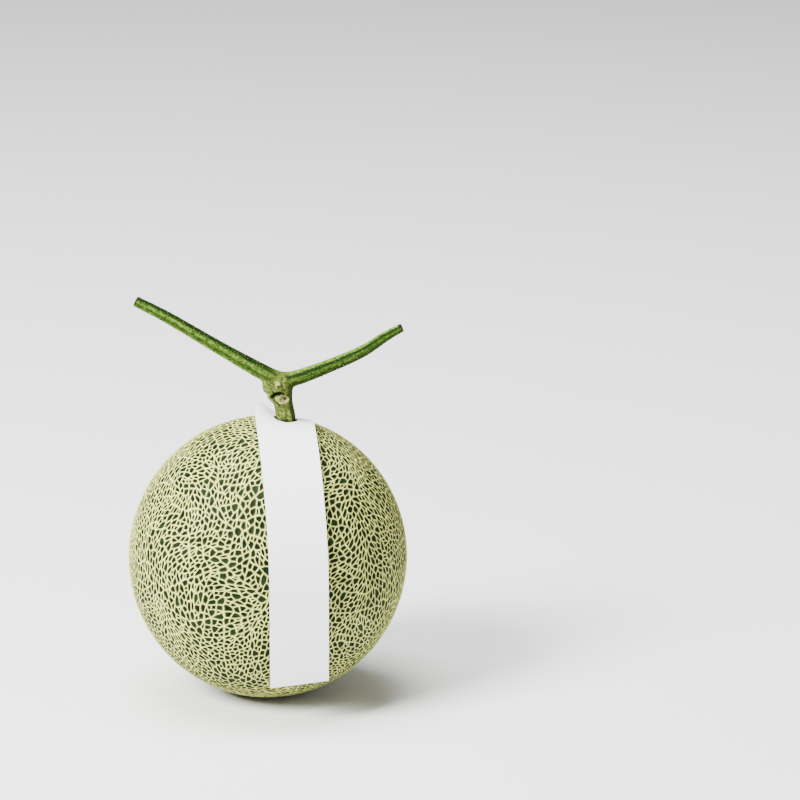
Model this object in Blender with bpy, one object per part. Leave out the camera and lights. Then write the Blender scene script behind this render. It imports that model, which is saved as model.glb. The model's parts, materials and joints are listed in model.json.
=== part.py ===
"""A netted muskmelon on its flat resting spot, with its stalk and vine piece and its paper strip.

Metres, +Z up. The origin is the centre of the flat resting spot, and the strip hangs down the front, -Y.
"""

import math
import random

import bmesh
import bpy
from mathutils import Matrix, Vector

# The fruit is a spheroid, measured over the crests of its net. Its stalk end leans towards +X.
FRUIT_RADIUS = 0.0710
FRUIT_HALF_LENGTH = 0.0721
AXIS_LEAN = math.radians(7.4)
FLAT_RADIUS = 0.0120
FLAT_SIDES = 30
SEAT_RADIUS = 0.0070
SEAT_SIDES = 20
SEAT_WALL = 0.0003
SEAT_DEPTH = 0.0009

# The net: cords of cork that stand up round the cells into which ten long gores are split. A gore's sides run
# from the stalk's seat to the resting spot, through points at these shares of the way up.
GORES = 10
MERIDIAN_STOPS = (0.78, 0.52, 0.25)
NET_SEED = 5
CELL_AREA = 112e-6
AREA_SPREAD = (0.95, 1.5)
CUT_TURN = math.radians(17.0)
CUT_DRIFT = 0.10
CORNER_SNAP = 0.0026
CUT_TRIES = 6
RELAX_STEPS = 5
RELAX_SHARE = 0.45
CORD_HEIGHT = 0.0017
CORD_HALF_WIDTH = 0.0014
SMALLEST_FLOOR = 0.40

# Round the stalk the cells lie along circles, and further down they lean towards the fruit's length.
RING_ZONE = math.radians(26.0)
RING_PULL = 0.50
LENGTH_PULL = 1.15

# The vine runs through the node at the top of the stalk. Each stop is x, y, z and the radius there.
VINE_ROUTE = (
    (-0.0660, 0.0120, 0.2019, 0.00265),
    (-0.0499, 0.0090, 0.1940, 0.00290),
    (-0.0254, 0.0046, 0.1801, 0.00325),
    (-0.0100, 0.0018, 0.1716, 0.00370),
    (0.0010, 0.0004, 0.1658, 0.00410),
    (0.0085, 0.0000, 0.1636, 0.00420),
    (0.0158, -0.0003, 0.1649, 0.00385),
    (0.0318, -0.0022, 0.1713, 0.00335),
    (0.0481, -0.0047, 0.1791, 0.00300),
    (0.0600, -0.0067, 0.1873, 0.00255),
    (0.0682, -0.0080, 0.1921, 0.00215),
)

# Five ridges run along it. They stand at one turn on the left arm and at another on the right arm, because
# every joint of a vine turns them, and they change over within this length on either side of the node.
RIDGES = 5
RIDGE_DEPTH = 0.09
VINE_TWIST = (math.radians(18.0), math.radians(46.0))
TURNING_LENGTH = 0.0080
VINE_STEPS = 3
STALK_STEPS = 3

# The stalk's foot stands square on its seat, given as heights over the seat and radii. Then it bends upright.
FOOT_GAP = 0.0003
FOOT_STOPS = ((0.0, 0.00545), (0.0012, 0.00500), (0.0030, 0.00470))
STALK_ROUTE = (
    (0.0085, 0.0000, 0.15000, 0.00470),
    (0.0078, 0.0000, 0.15500, 0.00510),
    (0.0076, 0.0000, 0.15900, 0.00560),
    (0.0074, 0.0000, 0.16250, 0.00540),
)

# The node is a swelling where the stalk meets the vine, with a smaller one under the left arm.
NODE_CENTRE = Vector((0.0055, 0.0, 0.1600))
NODE_SIZE = Vector((0.0078, 0.0058, 0.0060))
FILLET_CENTRE = Vector((0.0014, 0.0, 0.1618))
FILLET_SIZE = Vector((0.0038, 0.0044, 0.0048))

# The cut leaf stub looks up and forward, under a tendril scar, with a withered bract at its left.
STUB_ROUTE = (
    (0.0081, -0.0020, 0.15070, 0.00290),
    (0.0079, -0.0048, 0.15270, 0.00310),
    (0.0077, -0.0070, 0.15500, 0.00365),
)
STUB_HEIGHT_SHARE = 0.70
SCAR_ROUTE = (
    (0.0058, -0.0035, 0.16170, 0.00170),
    (0.0058, -0.0062, 0.16240, 0.00150),
    (0.0058, -0.0069, 0.16260, 0.00100),
)
BRACT_ROUTE = (
    (0.0010, -0.0028, 0.15620, 0.00130),
    (0.0034, -0.0046, 0.15370, 0.00125),
    (0.0062, -0.0052, 0.15130, 0.00095),
)

# The paper strip has a hole for the stalk, lies over the fruit's front and hangs free below its waist.
STRIP_WIDTH = 0.0300
STRIP_THICKNESS = 0.0006
STRIP_CLEARANCE = 0.0004
STRIP_TAIL = 0.0080
HOLE_RADIUS = 0.0064
HOLE_SHIFT = 0.0006
SLIT_HALF_WIDTH = 0.0005
STRIP_TOP_X = 0.0086
STRIP_DRIFT = 0.0069
LEAVE_ANGLE = math.radians(89.0)
HANG_LENGTH = 0.0498
HANG_IN = 0.0070
HANG_BEND = 1.8
FLAP_LIFT_LEFT = 0.0058
FLAP_LIFT_RIGHT = -0.0010
FLAP_LENGTH = 0.0140
WRAP_STEPS = 36
HANG_STEPS = 6
HALF_COLUMNS = 4

AXIS = Vector((math.sin(AXIS_LEAN), 0.0, math.cos(AXIS_LEAN)))
RIGHT = Vector((math.cos(AXIS_LEAN), 0.0, -math.sin(AXIS_LEAN)))
BACK = Vector((0.0, 1.0, 0.0))
DOWN = Vector((0.0, 0.0, -1.0))


def reach(direction):
    """Distance from the fruit's centre to the crest of its net, along a unit direction."""
    along = direction.dot(AXIS)
    across = max(0.0, 1.0 - along * along)
    return 1.0 / math.sqrt(across / FRUIT_RADIUS ** 2 + along * along / FRUIT_HALF_LENGTH ** 2)


CENTRE = Vector((0.0, 0.0, math.sqrt(reach(DOWN) ** 2 - FLAT_RADIUS ** 2)))
SEAT_RIM = CENTRE + AXIS * math.sqrt(FRUIT_HALF_LENGTH ** 2 - SEAT_RADIUS ** 2)


def smooth_step(value):
    """Ease a value from 0 to 1."""
    value = min(1.0, max(0.0, value))
    return value * value * (3.0 - 2.0 * value)


def make_material(name, colour, roughness):
    """A Principled material with one colour and one roughness."""
    material = bpy.data.materials.new(name)
    material.use_nodes = True
    shader = material.node_tree.nodes["Principled BSDF"]
    shader.inputs["Base Color"].default_value = (*colour, 1.0)
    shader.inputs["Roughness"].default_value = roughness
    return material


def add_object(name, mesh, material):
    """Put a mesh into the scene as one named object."""
    mesh.materials.append(material)
    made = bpy.data.objects.new(name, mesh)
    bpy.context.scene.collection.objects.link(made)
    return made


def add_gores(bm):
    """Ten gores from the stalk's seat to the flat spot, as unit directions from the fruit's centre."""
    seat_angle = math.asin(SEAT_RADIUS / FRUIT_HALF_LENGTH)
    flat_angle = math.atan2(FLAT_RADIUS, CENTRE.z)
    seat = []
    for i in range(SEAT_SIDES):
        turn = 2.0 * math.pi * i / SEAT_SIDES
        outward = RIGHT * math.cos(turn) + BACK * math.sin(turn)
        seat.append(bm.verts.new(AXIS * math.cos(seat_angle) + outward * math.sin(seat_angle)))
    flat = []
    for i in range(FLAT_SIDES):
        turn = 2.0 * math.pi * i / FLAT_SIDES
        outward = Vector((math.cos(turn), math.sin(turn), 0.0))
        flat.append(bm.verts.new(DOWN * math.cos(flat_angle) + outward * math.sin(flat_angle)))
    meridians = []
    for gore in range(GORES):
        turn = 2.0 * math.pi * gore / GORES
        outward = RIGHT * math.cos(turn) + BACK * math.sin(turn)
        stops = []
        for share in MERIDIAN_STOPS:
            angle = math.pi * share
            stops.append(bm.verts.new(AXIS * math.cos(angle) + outward * math.sin(angle)))
        meridians.append(stops)
    seat_step = SEAT_SIDES // GORES
    flat_step = FLAT_SIDES // GORES
    for gore in range(GORES):
        following = (gore + 1) % GORES
        bottom = [flat[(gore * flat_step + i) % FLAT_SIDES] for i in range(flat_step + 1)]
        top = [seat[(gore * seat_step + i) % SEAT_SIDES] for i in range(seat_step + 1)]
        bm.faces.new(bottom + meridians[following] + top[::-1] + meridians[gore][::-1])
    return bm.faces.new(seat), bm.faces.new(flat[::-1])


def cut_direction(face, centre, rng):
    """Normal of a plane through the fruit's centre that cuts a cell across its longest way."""
    north = (AXIS - centre * AXIS.dot(centre)).normalized()
    east = north.cross(centre)
    from_stalk = math.acos(max(-1.0, min(1.0, centre.dot(AXIS))))
    pull = LENGTH_PULL + (RING_PULL - LENGTH_PULL) * math.exp(-(from_stalk / RING_ZONE) ** 2)
    east_east = 0.0
    north_north = 0.0
    east_north = 0.0
    for loop in face.loops:
        start = loop.vert.co
        end = loop.link_loop_next.vert.co
        weight = (end - start).length
        middle = (start + end) / 2.0 - centre
        across = middle.dot(east) * pull
        along = middle.dot(north)
        east_east += weight * across * across
        north_north += weight * along * along
        east_north += weight * across * along
    angle = 0.5 * math.atan2(2.0 * east_north, east_east - north_north)
    angle += rng.uniform(-CUT_TURN, CUT_TURN)
    length = math.sqrt(face.calc_area())
    normal = (east * pull * math.cos(angle) + north * math.sin(angle)).normalized()
    point = (centre + normal * rng.uniform(-CUT_DRIFT, CUT_DRIFT) * length).normalized()
    return (normal - point * normal.dot(point)).normalized()


def cut_cell(face, normal):
    """Cut a cell by a plane through the fruit's centre. Returns the new cell, or None for a sliver."""
    snap = CORNER_SNAP / FRUIT_RADIUS
    ends = []
    for loop in list(face.loops):
        start = loop.vert
        end = loop.link_loop_next.vert
        height = normal.dot(start.co)
        next_height = normal.dot(end.co)
        if (height < 0.0) == (next_height < 0.0):
            continue
        share = height / (height - next_height)
        length = (end.co - start.co).length
        if share * length < snap:
            ends.append(start)
        elif (1.0 - share) * length < snap:
            ends.append(end)
        else:
            ends.append((loop.edge, start, share))
    if len(ends) != 2:
        return None
    corners = [end for end in ends if isinstance(end, bmesh.types.BMVert)]
    if len(corners) == 2:
        joined = any(corners[1] in edge.verts for edge in corners[0].link_edges)
        if corners[0] == corners[1] or joined:
            return None
    if len(corners) == 1:
        edge = next(end for end in ends if not isinstance(end, bmesh.types.BMVert))[0]
        if corners[0] in edge.verts:
            return None
    verts = []
    for end in ends:
        if isinstance(end, bmesh.types.BMVert):
            verts.append(end)
            continue
        edge, start, share = end
        vert = bmesh.utils.edge_split(edge, start, share)[1]
        vert.co.normalize()
        verts.append(vert)
    return bmesh.utils.face_split(face, verts[0], verts[1])[0]


def split_cells(bm, kept, rng):
    """Split the gores again and again, each cell across its longest way, down to the cells of the net."""
    waiting = [face for face in bm.faces if face not in kept]
    while waiting:
        face = waiting.pop()
        limit = CELL_AREA / FRUIT_RADIUS ** 2 * rng.uniform(*AREA_SPREAD)
        if face.calc_area() < limit:
            continue
        centre = face.calc_center_median_weighted().normalized()
        for _ in range(CUT_TRIES):
            new_face = cut_cell(face, cut_direction(face, centre, rng))
            if new_face is not None:
                waiting += [face, new_face]
                break


def relax_net(bm, fixed):
    """Pull each joint of the net towards its neighbours, so that three cords share it evenly."""
    free = [vert for vert in bm.verts if vert not in fixed]
    for _ in range(RELAX_STEPS):
        targets = []
        for vert in free:
            total = Vector((0.0, 0.0, 0.0))
            for edge in vert.link_edges:
                total += edge.other_vert(vert).co
            targets.append(vert.co.lerp(total / len(vert.link_edges), RELAX_SHARE).normalized())
        for vert, target in zip(free, targets):
            vert.co = target


def place_on_fruit(bm, seat_face, flat_face):
    """Turn the unit directions into places: the crests, the round seat's rim and the flat spot's rim."""
    for vert in bm.verts:
        direction = vert.co.normalized()
        vert.co = CENTRE + direction * reach(direction)
    for vert in seat_face.verts:
        offset = vert.co - CENTRE
        outward = (offset - AXIS * offset.dot(AXIS)).normalized()
        vert.co = SEAT_RIM + outward * SEAT_RADIUS
    for vert in flat_face.verts:
        outward = Vector((vert.co.x, vert.co.y, 0.0)).normalized()
        vert.co = outward * FLAT_RADIUS


def line_distance(point, start, end):
    """Distance of a point from the line through two others."""
    return (end - start).cross(point - start).length / (end - start).length


def sink_cells(bm, kept):
    """Sink the skin inside each cell, which leaves the cords standing up round it."""
    for face in [face for face in bm.faces if face not in kept]:
        rim = list(face.verts)
        centre = face.calc_center_median_weighted()
        distances = [line_distance(centre, rim[i].co, rim[(i + 1) % len(rim)].co) for i in range(len(rim))]
        floor = []
        for i, vert in enumerate(rim):
            nearest = min(distances[i - 1], distances[i])
            share = max(SMALLEST_FLOOR, 1.0 - CORD_HALF_WIDTH / nearest)
            direction = (centre.lerp(vert.co, share) - CENTRE).normalized()
            floor.append(bm.verts.new(CENTRE + direction * (reach(direction) - CORD_HEIGHT)))
        bm.faces.remove(face)
        for i, vert in enumerate(rim):
            after = (i + 1) % len(rim)
            bm.faces.new((vert, rim[after], floor[after], floor[i]))
        bm.faces.new(floor)


def sink_seat(bm, seat_face):
    """Sink the round seat on which the foot of the stalk stands."""
    rim = list(seat_face.verts)
    floor = []
    for vert in rim:
        offset = vert.co - CENTRE
        outward = (offset - AXIS * offset.dot(AXIS)).normalized()
        floor.append(bm.verts.new(vert.co - outward * SEAT_WALL - AXIS * SEAT_DEPTH))
    bm.faces.remove(seat_face)
    for i, vert in enumerate(rim):
        after = (i + 1) % len(rim)
        bm.faces.new((vert, rim[after], floor[after], floor[i]))
    bm.faces.new(floor)


def make_fruit(material):
    """The fruit with its raised net, its seat for the stalk and its flat resting spot, as one solid."""
    rng = random.Random(NET_SEED)
    bm = bmesh.new()
    seat_face, flat_face = add_gores(bm)
    bm.normal_update()
    kept = {seat_face, flat_face}
    split_cells(bm, kept, rng)
    relax_net(bm, set(seat_face.verts) | set(flat_face.verts))
    place_on_fruit(bm, seat_face, flat_face)
    sink_cells(bm, kept)
    sink_seat(bm, seat_face)
    bm.normal_update()
    mesh = bpy.data.meshes.new("fruit")
    bm.to_mesh(mesh)
    bm.free()
    return add_object("fruit", mesh, material)


def curve_through(stops, steps):
    """Points and radii on a smooth Catmull-Rom curve through a route's stops."""
    points = [Vector(stop) for stop in stops]
    made = []
    for i in range(len(points) - 1):
        before = points[max(0, i - 1)]
        start = points[i]
        end = points[i + 1]
        after = points[min(len(points) - 1, i + 2)]
        for step in range(steps):
            t = step / steps
            made.append(0.5 * (2.0 * start + (end - before) * t
                               + (2.0 * before - 5.0 * start + 4.0 * end - after) * t ** 2
                               + (3.0 * start - before - 3.0 * end + after) * t ** 3))
    made.append(points[-1])
    return [(point.xyz, point.w) for point in made]


def arm_twist(point):
    """Turn of the vine's ridges at a place, from the left arm's through the node to the right arm's."""
    share = smooth_step(0.5 + (point.x - NODE_CENTRE.x) / (2.0 * TURNING_LENGTH))
    return VINE_TWIST[0] + (VINE_TWIST[1] - VINE_TWIST[0]) * share


def no_twist(point):
    """Turn of the ridges of a stem that starts with one at the back."""
    return 0.0


def sweep(name, route, steps, material, ridge_depth=0.0, twist=no_twist, height_share=1.0):
    """A closed tube along a route, with five ridges along it."""
    stations = curve_through(route, steps)
    sides = 2 * RIDGES
    bm = bmesh.new()
    rings = []
    side = BACK
    for i, (point, radius) in enumerate(stations):
        before = stations[max(0, i - 1)][0]
        after = stations[min(len(stations) - 1, i + 1)][0]
        tangent = (after - before).normalized()
        side = (side - tangent * side.dot(tangent)).normalized()
        other = tangent.cross(side)
        ring = []
        for k in range(sides):
            turn = 2.0 * math.pi * k / sides + twist(point)
            reach_out = radius * (1.0 + (ridge_depth if k % 2 == 0 else -ridge_depth))
            offset = side * math.cos(turn) * height_share + other * math.sin(turn)
            ring.append(bm.verts.new(point + offset * reach_out))
        rings.append(ring)
    for lower, upper in zip(rings, rings[1:]):
        for k in range(sides):
            after = (k + 1) % sides
            bm.faces.new((lower[k], lower[after], upper[after], upper[k]))
    bm.faces.new(rings[0][::-1])
    bm.faces.new(rings[-1])
    mesh = bpy.data.meshes.new(name)
    bm.to_mesh(mesh)
    bm.free()
    return add_object(name, mesh, material)


def make_swelling(name, centre, size, material):
    """A rounded swelling of the stem."""
    bm = bmesh.new()
    bmesh.ops.create_icosphere(bm, subdivisions=2, radius=1.0, matrix=Matrix.LocRotScale(centre, None, size))
    mesh = bpy.data.meshes.new(name)
    bm.to_mesh(mesh)
    bm.free()
    return add_object(name, mesh, material)


def make_stem(material):
    """The stalk, the vine, the node, the leaf stub, the tendril scar and the bract, joined in one solid."""
    foot = SEAT_RIM + AXIS * (FOOT_GAP - SEAT_DEPTH)
    foot_stops = [(*(foot + AXIS * height), radius) for height, radius in FOOT_STOPS]
    stem = sweep("stem", foot_stops + list(STALK_ROUTE), STALK_STEPS, material, RIDGE_DEPTH)
    grown = [
        sweep("vine", VINE_ROUTE, VINE_STEPS, material, RIDGE_DEPTH, arm_twist),
        make_swelling("node_swelling", NODE_CENTRE, NODE_SIZE, material),
        make_swelling("node_fillet", FILLET_CENTRE, FILLET_SIZE, material),
        sweep("leaf_stub", STUB_ROUTE, 1, material, height_share=STUB_HEIGHT_SHARE),
        sweep("tendril_scar", SCAR_ROUTE, 1, material),
        sweep("bract", BRACT_ROUTE, 2, material),
    ]
    together = bpy.data.collections.new("grown_on_the_stalk")
    bpy.context.scene.collection.children.link(together)
    for piece in grown:
        bpy.context.scene.collection.objects.unlink(piece)
        together.objects.link(piece)
    union = stem.modifiers.new("union", "BOOLEAN")
    union.operation = "UNION"
    union.operand_type = "COLLECTION"
    union.collection = together
    union.solver = "EXACT"
    bpy.context.view_layer.update()
    joined = bpy.data.meshes.new_from_object(stem.evaluated_get(bpy.context.evaluated_depsgraph_get()))
    stem.modifiers.clear()
    stem.data = joined
    for piece in grown:
        bpy.data.objects.remove(piece)
    bpy.data.collections.remove(together)
    return stem


def wrap_point(angle):
    """Centre line of the strip on the fruit. The angle runs from the stalk, 0, down the front."""
    sine = math.sin(angle)
    x = STRIP_TOP_X + STRIP_DRIFT * (sine + sine * sine) / 2.0
    aim = Vector((x / FRUIT_RADIUS, -sine, math.cos(angle))).normalized()
    return CENTRE + aim * (reach(aim) + STRIP_CLEARANCE), aim


def strip_stations():
    """Points, outward normals and lengths from the stalk along the strip's centre line."""
    tail_angle = -STRIP_TAIL / FRUIT_RADIUS
    stations = []
    for i in range(WRAP_STEPS + 1):
        angle = tail_angle + (LEAVE_ANGLE - tail_angle) * (i / WRAP_STEPS)
        point, normal = wrap_point(angle)
        stations.append((point, normal, angle * FRUIT_RADIUS))
    leave, normal, length = stations[-1]
    for i in range(1, HANG_STEPS + 1):
        share = i / HANG_STEPS
        point = leave + DOWN * HANG_LENGTH * share + BACK * HANG_IN * share ** HANG_BEND
        stations.append((point, normal, length + HANG_LENGTH * share))
    return stations


def gap_beside_stalk(length):
    """Half the width of the hole, or of the slit behind it, at a length along the strip."""
    if length > HOLE_RADIUS:
        return 0.0
    hole = math.sqrt(max(0.0, HOLE_RADIUS ** 2 - length ** 2))
    return max(hole, SLIT_HALF_WIDTH) if length < 0.0 else hole


def flap_lift(length, across):
    """How far the loose end behind the stalk curls up off the fruit, or bends down on to it."""
    back = smooth_step((FLAP_LENGTH / 2.0 - length) / FLAP_LENGTH)
    side = smooth_step(abs(across) / (STRIP_WIDTH / 2.0))
    return (FLAP_LIFT_LEFT if across < 0.0 else FLAP_LIFT_RIGHT) * back * side


def make_strip(material):
    """The paper strip with its hole and slit, as one thin solid."""
    stations = strip_stations()
    bm = bmesh.new()
    rows = []
    for i, (point, normal, length) in enumerate(stations):
        before = stations[max(0, i - 1)][0]
        after = stations[min(len(stations) - 1, i + 1)][0]
        tangent = (after - before).normalized()
        across = normal.cross(tangent).normalized()
        outward = tangent.cross(across)
        gap = gap_beside_stalk(length)
        halves = []
        for sign in (-1.0, 1.0):
            half = []
            inner = HOLE_SHIFT + sign * gap
            outer = sign * STRIP_WIDTH / 2.0
            for k in range(HALF_COLUMNS + 1):
                offset = inner + (outer - inner) * k / HALF_COLUMNS
                half.append(point + across * offset + outward * flap_lift(length, offset))
            halves.append(half)
        left = [bm.verts.new(place) for place in halves[0]]
        right = [bm.verts.new(place) for place in halves[1][1:]]
        right.insert(0, left[0] if gap == 0.0 else bm.verts.new(halves[1][0]))
        rows.append((left, right))
    for (left, right), (next_left, next_right) in zip(rows, rows[1:]):
        for k in range(HALF_COLUMNS):
            bm.faces.new((left[k], left[k + 1], next_left[k + 1], next_left[k]))
            bm.faces.new((right[k + 1], right[k], next_right[k], next_right[k + 1]))
    bm.normal_update()
    mesh = bpy.data.meshes.new("paper_band")
    bm.to_mesh(mesh)
    bm.free()
    strip = add_object("paper_band", mesh, material)
    wall = strip.modifiers.new("thickness", "SOLIDIFY")
    wall.thickness = STRIP_THICKNESS
    wall.offset = 1.0
    return strip


def main():
    """Build the muskmelon's three pieces."""
    for old in list(bpy.data.objects):
        bpy.data.objects.remove(old)
    make_fruit(make_material("netted_rind", (0.42, 0.44, 0.24), 0.75))
    make_stem(make_material("green_vine", (0.16, 0.27, 0.08), 0.6))
    make_strip(make_material("white_paper", (0.86, 0.87, 0.86), 0.7))


main()
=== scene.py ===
# %% [markdown]
# A netted muskmelon, made in Blender step by step. The fruit is a green ball whose skin cracked while it
# grew, and cork healed the cracks into a raised net. It still has its stalk and a T-shaped piece of the
# vine, and a paper strip hangs from the stalk. A fixed frame of plain solids says where each piece is and
# how large. This script makes the looks around it.

# %% Load the frame
import json
import math
import random

import bmesh
import bpy
import numpy as np
from mathutils import Matrix, Vector, noise

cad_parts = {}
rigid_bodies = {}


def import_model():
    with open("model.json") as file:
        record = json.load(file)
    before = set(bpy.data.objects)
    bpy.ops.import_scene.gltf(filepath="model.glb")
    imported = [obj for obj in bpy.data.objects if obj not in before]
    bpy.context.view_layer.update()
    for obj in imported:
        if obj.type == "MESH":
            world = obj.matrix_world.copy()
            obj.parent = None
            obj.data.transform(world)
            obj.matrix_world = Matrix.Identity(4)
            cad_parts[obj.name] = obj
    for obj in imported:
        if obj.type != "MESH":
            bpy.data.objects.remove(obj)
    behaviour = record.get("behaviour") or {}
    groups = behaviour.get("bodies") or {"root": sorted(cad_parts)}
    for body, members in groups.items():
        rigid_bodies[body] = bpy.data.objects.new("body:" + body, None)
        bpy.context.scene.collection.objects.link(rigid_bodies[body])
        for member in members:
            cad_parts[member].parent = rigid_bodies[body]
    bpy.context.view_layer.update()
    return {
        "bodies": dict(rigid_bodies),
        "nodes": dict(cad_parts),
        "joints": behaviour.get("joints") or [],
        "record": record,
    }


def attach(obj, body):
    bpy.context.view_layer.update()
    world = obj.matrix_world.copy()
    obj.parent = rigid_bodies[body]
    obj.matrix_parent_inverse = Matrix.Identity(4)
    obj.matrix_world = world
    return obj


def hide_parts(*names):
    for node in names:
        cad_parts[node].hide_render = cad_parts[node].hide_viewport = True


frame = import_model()

# %% [markdown]
# The fruit is nearly a ball: 142 mm across and 144 mm long, leaning 7 degrees, on a flat spot 24 mm across.
# One small function, the reach from the centre to the net's crest, carries that whole shape.
# The net, the seat of the stalk and the strip all ask it where the surface is, so they can't drift apart.

# %% The shape of the fruit
FRUIT_RADIUS = 0.0710
FRUIT_HALF_LENGTH = 0.0721
AXIS_LEAN = math.radians(7.4)
FLAT_RADIUS = 0.0120
SEAT_RADIUS = 0.0070
AXIS = Vector((math.sin(AXIS_LEAN), 0.0, math.cos(AXIS_LEAN)))
RIGHT = Vector((math.cos(AXIS_LEAN), 0.0, -math.sin(AXIS_LEAN)))
BACK = Vector((0.0, 1.0, 0.0))
DOWN = Vector((0.0, 0.0, -1.0))


def reach(direction):
    """Distance from the fruit's centre to the crest of its net, along a unit direction."""
    along = direction.dot(AXIS)
    across = max(0.0, 1.0 - along * along)
    return 1.0 / math.sqrt(across / FRUIT_RADIUS ** 2 + along * along / FRUIT_HALF_LENGTH ** 2)


def smooth_step(value):
    """Ease a value from 0 to 1."""
    value = min(1.0, max(0.0, value))
    return value * value * (3.0 - 2.0 * value)


CENTRE = Vector((0.0, 0.0, math.sqrt(reach(DOWN) ** 2 - FLAT_RADIUS ** 2)))
SEAT_RIM = CENTRE + AXIS * math.sqrt(FRUIT_HALF_LENGTH ** 2 - SEAT_RADIUS ** 2)
print("fruit centre", [round(value, 4) for value in CENTRE])

# %% [markdown]
# The camera comes next, because every later choice is judged through it. It looks from the front, 16
# degrees down, with a long lens, so the fruit stays round near the frame's edge. It turns a little to the
# right and up, which puts the fruit left of and below the middle of the frame.

# %% Camera
FRAME_PIXELS = 800
FRUIT_PIXEL = (266.7, 554.9)
PIXEL_SIZE = 0.000510
LENS = 200.0
SENSOR = 36.0
CAMERA_HEIGHT_ANGLE = math.radians(16.0)

camera_data = bpy.data.cameras.new("camera")
camera_data.lens = LENS
camera_data.sensor_width = SENSOR
camera_data.clip_end = 50.0
camera = bpy.data.objects.new("camera", camera_data)
bpy.context.scene.collection.objects.link(camera)
bpy.context.scene.camera = camera
distance = PIXEL_SIZE * FRAME_PIXELS * LENS / SENSOR
towards_camera = Vector((0.0, -math.cos(CAMERA_HEIGHT_ANGLE), math.sin(CAMERA_HEIGHT_ANGLE)))
upwards = Vector((0.0, math.sin(CAMERA_HEIGHT_ANGLE), math.cos(CAMERA_HEIGHT_ANGLE)))
camera.location = CENTRE + towards_camera * distance
aim = CENTRE + Vector((1.0, 0.0, 0.0)) * (FRAME_PIXELS / 2 - FRUIT_PIXEL[0]) * PIXEL_SIZE
aim += upwards * (FRUIT_PIXEL[1] - FRAME_PIXELS / 2) * PIXEL_SIZE
camera.rotation_euler = (aim - camera.location).to_track_quat("-Z", "Y").to_euler()
print("camera distance", round(distance, 3))

# %% [markdown]
# A real net starts as long cracks, and each field between two cracks is cracked again across its longest
# way. The same rule works here: ten long gores are cut again and again until every cell is about 3 mm wide.
# Cutting a mesh face keeps its neighbours joined, so each joint of the net is shared and nothing can gape.

# %% Gores of the net
GORES = 10
SEAT_SIDES = 30
SCAR_RADIUS = 0.0042
SCAR_SIDES = 20
MERIDIAN_STOPS = (0.75, 0.50, 0.25)


def ring_directions(pole, first, angle, sides):
    """Unit directions on a circle round a pole."""
    made = []
    for i in range(sides):
        turn = 2.0 * math.pi * i / sides
        outward = first * math.cos(turn) + BACK * math.sin(turn)
        made.append(pole * math.cos(angle) + outward * math.sin(angle))
    return made


def add_gores(bm):
    """Ten gores from the stalk's seat to the blossom scar, as unit directions from the fruit's centre."""
    seat_angle = math.asin(SEAT_RADIUS / FRUIT_HALF_LENGTH)
    scar_angle = math.asin(SCAR_RADIUS / FRUIT_HALF_LENGTH)
    seat = [bm.verts.new(place) for place in ring_directions(AXIS, RIGHT, seat_angle, SEAT_SIDES)]
    scar = [bm.verts.new(place) for place in ring_directions(-AXIS, RIGHT, scar_angle, SCAR_SIDES)]
    circles = [ring_directions(AXIS, RIGHT, math.pi * share, GORES) for share in MERIDIAN_STOPS]
    meridians = [[bm.verts.new(circle[gore]) for circle in circles] for gore in range(GORES)]
    seat_step = SEAT_SIDES // GORES
    scar_step = SCAR_SIDES // GORES
    for gore in range(GORES):
        following = (gore + 1) % GORES
        bottom = [scar[(gore * scar_step + i) % SCAR_SIDES] for i in range(scar_step + 1)]
        top = [seat[(gore * seat_step + i) % SEAT_SIDES] for i in range(seat_step + 1)]
        bm.faces.new(bottom + meridians[following] + top[::-1] + meridians[gore][::-1])
    return bm.faces.new(seat), bm.faces.new(scar[::-1])


# %% [markdown]
# A cut is a plane through the fruit's centre, so every crack is a piece of a great circle. Its direction is
# set across the cell's longest way, with a little seeded chance. Lengths along the grain count less, so
# cells end up long in that direction and lie in chains. The grain runs in rings round the stalk. Further
# down it runs from stalk to blossom end, and a slow noise turns it from place to place, as on the fruit.

# %% Cutting one cell
CUT_TURN = math.radians(20.0)
CUT_DRIFT = 0.12
CORNER_SNAP = 0.00062
RING_ZONE = math.radians(24.0)
GRAIN_PULL = 1.50
GRAIN_TURN = math.radians(125.0)
GRAIN_SCALE = 2.1


def cut_direction(face, centre, chance):
    """Normal of a plane through the fruit's centre that cuts a cell across its longest way."""
    north = (AXIS - centre * AXIS.dot(centre)).normalized()
    from_stalk = math.acos(max(-1.0, min(1.0, centre.dot(AXIS))))
    ring_share = math.exp(-(from_stalk / RING_ZONE) ** 2)
    turn = math.pi / 2.0 * ring_share + GRAIN_TURN * (1.0 - ring_share) * noise.noise(centre * GRAIN_SCALE)
    grain = north * math.cos(turn) + north.cross(centre) * math.sin(turn)
    across = grain.cross(centre)
    spread = np.zeros((2, 2))
    for loop in face.loops:
        start = loop.vert.co
        end = loop.link_loop_next.vert.co
        middle = (start + end) / 2.0 - centre
        place = np.array((middle.dot(across) * GRAIN_PULL, middle.dot(grain)))
        spread += (end - start).length * np.outer(place, place)
    angle = 0.5 * math.atan2(2.0 * spread[0, 1], spread[0, 0] - spread[1, 1])
    angle += chance.uniform(-CUT_TURN, CUT_TURN)
    normal = (across * GRAIN_PULL * math.cos(angle) + grain * math.sin(angle)).normalized()
    drift = chance.uniform(-CUT_DRIFT, CUT_DRIFT) * math.sqrt(face.calc_area())
    point = (centre + normal * drift).normalized()
    return (normal - point * normal.dot(point)).normalized()


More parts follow.
